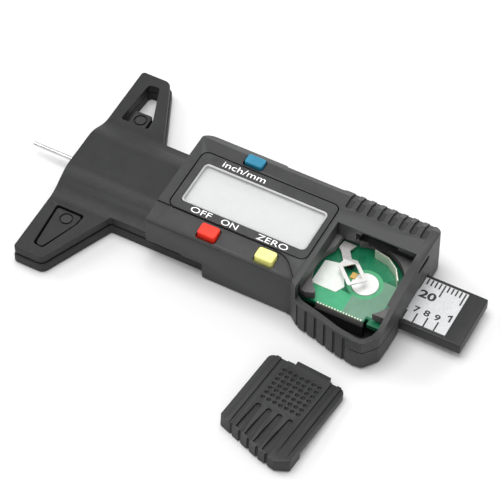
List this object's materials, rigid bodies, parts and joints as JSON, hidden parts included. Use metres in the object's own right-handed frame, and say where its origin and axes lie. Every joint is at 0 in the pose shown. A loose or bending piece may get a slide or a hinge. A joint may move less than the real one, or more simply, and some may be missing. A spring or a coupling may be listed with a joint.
{
  "type": "digital tire tread depth gauge",
  "caption": "T-shaped digital depth gauge with a sliding probe beam, LCD housing, coloured push buttons, open battery compartment and a loose battery cover.",
  "frame": {"origin": "centre line of the beam on the back face that the gauge lies on, under the housing", "axes": "+X along the beam, from the measuring face to the beam's tail; +Y towards the side with the single button; +Z out of the display"},
  "size_m": [0.1123, 0.0824, 0.0142],
  "materials": {
    "base_plastic": "fine moulded texture, dark grey-black",
    "housing_plastic": "fine moulded texture, dark grey-black",
    "back_plastic": "fine moulded texture",
    "cover_plastic": "fine moulded texture, dimpled",
    "beam_plastic": "satin",
    "bezel_plastic": "satin, slightly smoother than the housing",
    "clear_acrylic": "clear polished",
    "lcd_grey": "pale grey, unlit segments",
    "frame_plastic": "plain",
    "elastomer": "soft striped",
    "board_green": "solder mask",
    "epoxy_black": "poured epoxy",
    "tin": "tinned",
    "pad_white": "thin foam",
    "switch_grey": "plain",
    "holder_grey": "plain",
    "spring_steel": "plated strip",
    "label_silver": "satin film with black graduations",
    "stator_green": "solder mask over fine pads",
    "brass_sleeve": "turned",
    "pin_steel": "ground",
    "screw_steel": "plated",
    "button_red": "satin red",
    "button_yellow": "satin pale yellow",
    "button_blue": "satin blue"
  },
  "bodies": {
    "root": {"base_upper_shell": "base_plastic", "base_lower_shell": "base_plastic", "front_housing": "housing_plastic", "back_cover": "back_plastic", "display_bezel": "bezel_plastic", "display_window": "clear_acrylic", "lcd_panel": "lcd_grey", "lcd_frame": "frame_plastic", "zebra_connector_near": "elastomer", "zebra_connector_far": "elastomer", "main_circuit_board": "board_green", "controller_blob": "epoxy_black", "negative_pad": "tin", "insulating_pad": "pad_white", "off_on_switch": "switch_grey", "zero_switch": "switch_grey", "inch_mm_switch": "switch_grey", "battery_holder": "holder_grey", "battery_spring_contact": "spring_steel", "battery_side_contact": "spring_steel", "beam_leaf_spring": "spring_steel", "back_screw_1": "screw_steel", "back_screw_2": "screw_steel", "back_screw_3": "screw_steel", "neck_screw_1": "screw_steel", "neck_screw_2": "screw_steel", "nose_screw_1": "screw_steel", "nose_screw_2": "screw_steel"},
    "beam": {"slide_beam": "beam_plastic", "scale_label": "label_silver", "stator_strip": "stator_green", "probe_sleeve": "brass_sleeve", "probe_pin": "pin_steel"},
    "off_on_button": {"off_on_button": "button_red"},
    "zero_button": {"zero_button": "button_yellow"},
    "inch_mm_button": {"inch_mm_button": "button_blue"},
    "battery_cover": {"battery_cover": "cover_plastic"}
  },
  "joints": [
    {"name": "beam_slide", "type": "slide", "parent": "root", "child": "beam", "axis": [1, 0, 0], "range_m": [-0.0132, 0.0122]},
    {"name": "off_on_press", "type": "slide", "parent": "root", "child": "off_on_button", "axis": [0, 0, -1], "range_m": [0, 0.0006], "stiffness_N_per_m": 400},
    {"name": "zero_press", "type": "slide", "parent": "root", "child": "zero_button", "axis": [0, 0, -1], "range_m": [0, 0.0006], "stiffness_N_per_m": 400},
    {"name": "inch_mm_press", "type": "slide", "parent": "root", "child": "inch_mm_button", "axis": [0, 0, -1], "range_m": [0, 0.0006], "stiffness_N_per_m": 400},
    {"name": "battery_cover_lift", "type": "slide", "parent": "root", "child": "battery_cover", "axis": [0, 0, 1], "range_m": [0, 0.012]}
  ]
}
